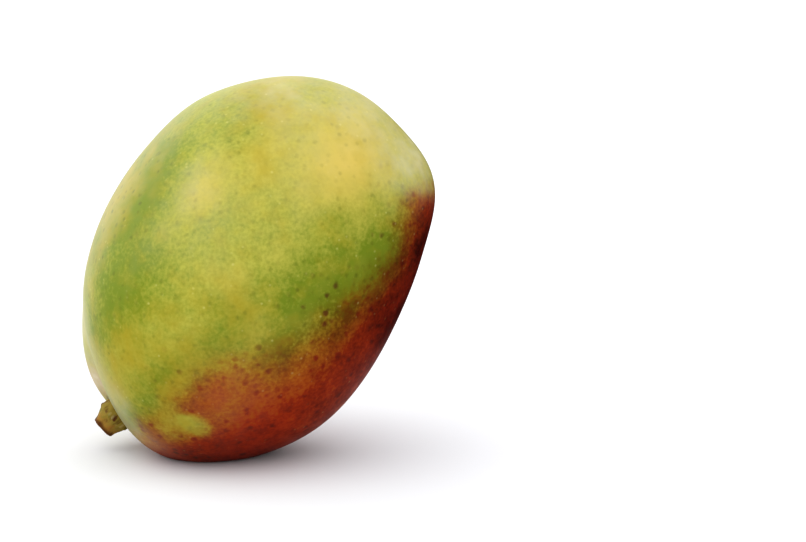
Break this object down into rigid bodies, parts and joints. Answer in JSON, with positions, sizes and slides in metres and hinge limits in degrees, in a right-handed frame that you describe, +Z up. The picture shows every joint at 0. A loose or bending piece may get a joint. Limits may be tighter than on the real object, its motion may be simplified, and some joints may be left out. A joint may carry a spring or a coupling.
{
  "type": "mango",
  "caption": "Whole ripe mango with a cut stem stub, egg-shaped with a blunt beak, standing tilted on a small flat spot",
  "frame": {"origin": "on the surface that the mango stands on, under the middle of its bounding box", "axes": "+Z is up, the near cheek faces -Y, the beak end points up to +X and the stem end down to -X"},
  "size_m": [0.104, 0.0852, 0.1103],
  "materials": {
    "skin": "waxy satin mango skin, yellow-green with a red blush",
    "stem": "dull olive-brown dried stem"
  },
  "bodies": {
    "root": {"mango_fruit": "skin", "stem_stub": "stem"}
  },
  "joints": []
}
